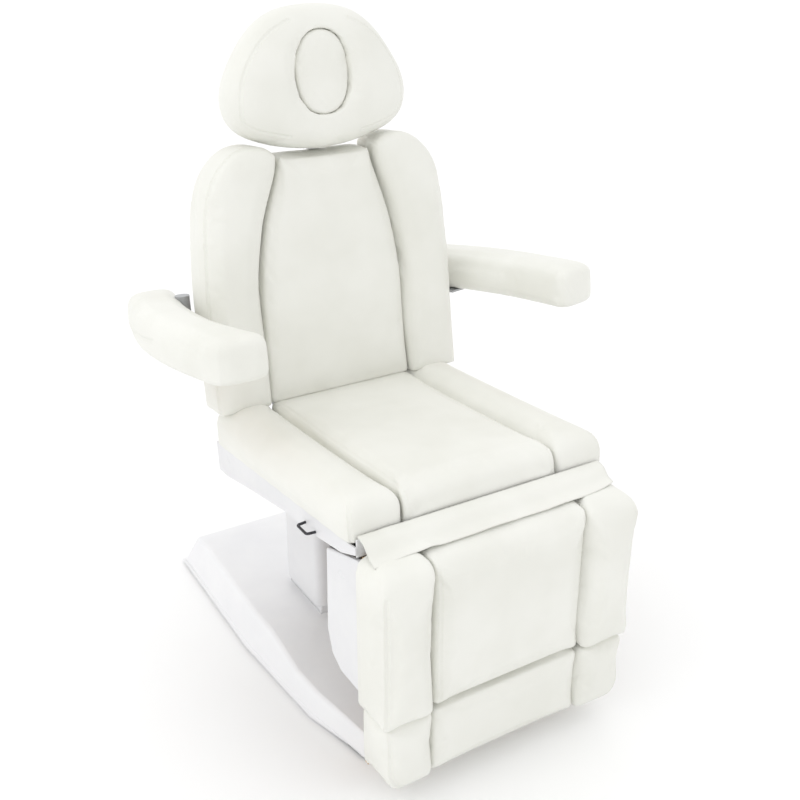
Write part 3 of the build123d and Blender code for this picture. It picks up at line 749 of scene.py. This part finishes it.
def make_arms():
    rear, front = 252, -326
    outer = flat_line([(438, rear - 40), (468, 90), (475, -35), (467, -170), (445, front + 34)], 22)
    inner = flat_line([(317, front + 30), (345, -150), (347, -35), (342, 90), (319, rear - 40)], 22)
    nose = [(430, front + 8), (408, front), (350, front), (326, front + 8)]
    tail = [(319, rear - 30), (330, rear - 4), (376, rear + 2), (426, rear - 4), (437, rear - 30)]
    plan = outer + nose + inner + flat_line(tail, 9)
    for side, name in ((-1, "left"), (1, "right")):
        place = arm_at(side)
        mine = [(side * x, y) for x, y in plan]
        arm = outline_form(f"arm_cushion_{name}", place, mine, ARM_LOW, ARM_HIGH, (26, 25), (16, 16))
        hold = hold_base(place, ARM_LOW)
        upholster(arm, f"arm_{name}", f"arm_pad_{name}", hold, rise=0.005, cell=0.005)


def make_leg():
    panel = block_form(
        "leg_panel", front_place, (-187, 187), (222, 570), (LEG_LOW, LEG_PANEL_HIGH),
        {(0, 1, 1): 40, (-1, 0, 1): 13, (1, 0, 1): 13, (0, -1, 1): 10, (-1, 1, 0): 8, (1, 1, 0): 8},
    )
    upholster(panel, "leg", "leg_cushion", hold_base(front_place, LEG_LOW), rise=0.006)
    for side, name in ((-1, "left"), (1, "right")):
        xs = sorted((side * 189, side * 313))
        bolster = block_form(
            f"leg_bolster_{name}", front_place, xs, (221, 572), (LEG_LOW, LEG_BOLSTER_HIGH),
            {(0, 1, 1): 56, (side, 0, 1): 13, (-side, 0, 1): 27, (0, -1, 1): 14, (side, 1, 0): 34,
             (-side, 1, 0): 14, (side, -1, 0): 12},
        )
        upholster(bolster, "leg", "leg_cushion", hold_base(front_place, LEG_LOW), rise=0.009)


def make_foot():
    panel = block_form(
        "foot_panel", front_place, (-187, 187), (50, 217), (FOOT_LOW, FOOT_PANEL_HIGH),
        {(0, -1, 1): 24, (-1, 0, 1): 11, (1, 0, 1): 11, (0, 1, 1): 8},
    )
    upholster(panel, "foot", "foot_cushion", hold_base(front_place, FOOT_LOW), rise=0.005)
    for side, name in ((-1, "left"), (1, "right")):
        xs = sorted((side * 189, side * 304))
        bolster = block_form(
            f"foot_bolster_{name}", front_place, xs, (50, 217), (FOOT_LOW, FOOT_BOLSTER_HIGH),
            {(0, -1, 1): 30, (side, 0, 1): 13, (-side, 0, 1): 22, (0, 1, 1): 10, (side, -1, 0): 60,
             (-side, -1, 0): 12},
        )
        upholster(bolster, "foot", "foot_cushion", hold_base(front_place, FOOT_LOW), rise=0.008)


def finish_cushions():
    for item in padded_pieces:
        piece = item["piece"]
        thicken_mesh(piece)
        for lines, width, depth, lips in seam_plan(piece):
            laid = [follow(points, piece) for points in lines]
            sink(piece, laid, width, depth, lips)
            if lips:
                for line in laid:
                    stitch(item["body"], piece, line, (-0.0042, 0.0042))
        piece.data.materials.clear()
        piece.data.materials.append(finishes["upholstery"])
        smooth(piece)
        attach(piece, item["body"])
        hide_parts(item["node"])


def at(place, points, side=1):
    """Points given in millimetres in a part's own place, as points of the bed in metres."""
    return [place @ (Vector((side * x, y, z)) / 1000) for x, y, z in points]


def seam_plan(piece):
    """Each cushion's sewn lines: (lines, width, depth, lip)."""
    name = piece.name
    side = -1 if name.endswith("left") else 1
    if name.startswith("seat_bolster"):
        corner = at(seat_place, [(305, -560, 20), (310, -580, -6), (310, -586, -40), (310, -588, -78)], side)
        return [([corner], 0.0035, 0.0022, 0.0006)]
    if name.startswith("back_bolster"):
        welt = at(back_place, [(x * 0.995, y, -2) for x, y in back_edge[:-1]], side)
        return [([welt], 0.0035, 0.0024, 0.0006)]
    if name == "headrest":
        rim = [
            (90, 603, 12), (152, 615, 12), (188, 630, 12), (200, 639, 12), (201, 667, 12), (197, 710, 12),
            (184, 748, 12), (160, 785, 12), (121, 825, 12), (70, 845, 12),
        ]
        return [([at(back_place, rim, -1), at(back_place, rim, 1)], 0.0035, 0.0018, 0.0004)]
    if name.startswith("arm_cushion"):
        line = at(arm_at(side), [(440, 236, 205), (470, 120, 208), (478, 0, 214), (475, -60, 222)], side)
        return [([line], 0.0035, 0.0020, 0.0004)]
    if name.startswith("leg_bolster"):
        corner = [(302, 530, 548), (311, 500, 559), (313, 420, 562), (313, 300, 562), (312, 230, 560)]
        return [([at(front_place, corner, side)], 0.0040, 0.0030, 0.0010)]
    if name.startswith("foot_bolster"):
        corner = [(300, 212, 552), (301, 130, 552), (292, 88, 552), (262, 58, 548)]
        return [([at(front_place, corner, side)], 0.0035, 0.0024, 0.0006)]
    if name == "seat_panel":
        line = [(179, 10, 8), (180, -300, 9), (179, -545, 6), (178, -584, -20), (178, -586, -70)]
        return [([at(seat_place, line, -1), at(seat_place, line, 1)], 0.0028, 0.0010, 0.0002)]
    if name == "leg_panel":
        line = [(177, 545, 530), (178, 510, 545), (178, 400, 545), (178, 228, 545)]
        return [([at(front_place, line, -1), at(front_place, line, 1)], 0.0028, 0.0010, 0.0002)]
    return []


# ---------------------------------------------------------------- the strip of cover cloth in front
def make_flap():
    """The strip of cover cloth stapled under the seat's front, lying over the leg rest's top."""
    fall = [(-431, 603), (-444, 600.5), (-456, 597), (-466, 588), (-477, 578), (-488, 574.5), (-497, 572)]
    line = curve_through([Vector((0, y, z)) for y, z in fall], 23)
    bm = bmesh.new()
    rows = []
    for k, point in enumerate(line):
        along = k / (len(line) - 1)
        row = []
        for i in range(149):
            across = -297 + 590 * i / 148
            fold = math.exp(-(((across + 168 + 62 * (1 - along)) / 17) ** 2)) * (0.25 + 0.75 * along)
            ripple = math.sin(across / 31 + 2 * along) * 0.9 + math.sin(across / 13.7 - 3 * along) * 0.35
            lift = 4.6 * fold + (ripple + 1.0) * along
            shorter = 12 * along * max(0.0, (across - 200) / 93) ** 2
            lower = 5 * along * along * max(0.0, (-230 - across) / 67)
            place = (across, point.y + shorter - 2 * fold, point.z + lift - lower + 0.4 * shorter)
            row.append(bm.verts.new(place))
        rows.append(row)
    for near, far in zip(rows, rows[1:]):
        for a, b, c, d in zip(near, near[1:], far[1:], far):
            bm.faces.new((a, b, c, d))
    piece = to_piece("front_flap_cloth", bm, floor_place)
    thick = piece.modifiers.new("cloth", "SOLIDIFY")
    thick.thickness = 0.0016
    thick.offset = 0
    settle(piece)
    piece.data.materials.clear()
    piece.data.materials.append(finishes["upholstery"])
    smooth(piece)
    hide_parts("front_flap")
    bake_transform(piece)


# ---------------------------------------------------------------- moulded covers
def soften(node, body, edge, dimple=None, finish="shell_plastic"):
    """A cover from the frame with its outer edges rounded over, and an oval dimple if it has one."""
    bm = bmesh.new()
    bm.from_mesh(frame["nodes"][node].data)
    bmesh.ops.remove_doubles(bm, verts=bm.verts, dist=0.00002)
    bmesh.ops.dissolve_limit(bm, angle_limit=math.radians(1), verts=bm.verts, edges=bm.edges)
    bmesh.ops.recalc_face_normals(bm, faces=bm.faces)
    share = bm.edges.layers.float.new("bevel_weight_edge")
    narrow = 0.0065
    for line in bm.edges:
        if len(line.link_faces) == 2 and line.is_convex and line.calc_face_angle() > math.radians(24):
            widths = [f.calc_area() / max(e.calc_length() for e in f.edges) for f in line.link_faces]
            line[share] = 1.0 if min(widths) > narrow else 0.0
    mesh = bpy.data.meshes.new(node + "_form")
    bm.to_mesh(mesh)
    bm.free()
    piece = bpy.data.objects.new(node + "_form", mesh)
    scene.collection.objects.link(piece)
    if dimple:
        press(piece, *dimple)
    rounding = piece.modifiers.new("rounding", "BEVEL")
    rounding.limit_method = "WEIGHT"
    rounding.width = edge / 1000
    rounding.segments = 5
    rounding.use_clamp_overlap = False
    settle(piece)
    piece.data.materials.clear()
    piece.data.materials.append(finishes[finish])
    smooth(piece)
    piece.data.set_sharp_from_angle(angle=math.radians(32))
    piece.modifiers.new("even shading", "WEIGHTED_NORMAL").keep_sharp = True
    settle(piece)
    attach(piece, body)
    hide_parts(node)


def press(piece, centre, size):
    """Presses an oval dimple into a cover."""
    bm = bmesh.new()
    bmesh.ops.create_uvsphere(bm, u_segments=40, v_segments=20, radius=1)
    bmesh.ops.scale(bm, vec=size, verts=bm.verts)
    bmesh.ops.translate(bm, vec=centre, verts=bm.verts)
    tool = to_piece("dimple", bm, floor_place)
    cut = piece.modifiers.new("dimple", "BOOLEAN")
    cut.operation = "DIFFERENCE"
    cut.solver = "EXACT"
    cut.object = tool
    settle(piece)
    bpy.data.objects.remove(tool)


def make_lining():
    """Pale strips that close the seat tray's nose on each side of the leg rest's hinge."""
    for side, name in ((-1, "left"), (1, "right")):
        xs = sorted((side * 176, side * 300))
        strip = block_form(f"seat_front_lining_{name}", floor_place, xs, (-434, -431), (558, 597), {}, 1.0)
        strip.data.materials.append(finishes["cover_plastic"])
        smooth(strip)
        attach(strip, "seat")


def make_covers():
    soften("base_cover", "base", 9, finish="cover_plastic")
    soften("column_upper_cover", "lift", 2.5)
    soften("column_lower_cover", "base", 2.5)
    soften("seat_tray", "seat", 2.5, ((-305.5, 174, 500), (3.2, 15, 10)))
    soften("leg_shell", "leg", 6, ((-298.5, -364, 481), (3.2, 15, 10)))
    soften("back_shell", "back", 6)


set_camera()
set_light()
dress_frame()
make_seat()
make_back()
make_head()
make_arms()
make_leg()
make_foot()
stuff_all()
finish_cushions()
make_flap()
sew_threads()
make_covers()
make_lining()

floor_bm = bmesh.new()
bmesh.ops.create_grid(floor_bm, x_segments=1, y_segments=1, size=40000)
floor = to_piece("studio_floor", floor_bm, floor_place)
floor_finish, nodes, links, shader, where = start_finish("studio_floor")
shader.inputs["Base Color"].default_value = (0.97, 0.97, 0.97, 1)
shader.inputs["Roughness"].default_value = 0.9
floor.data.materials.append(floor_finish)
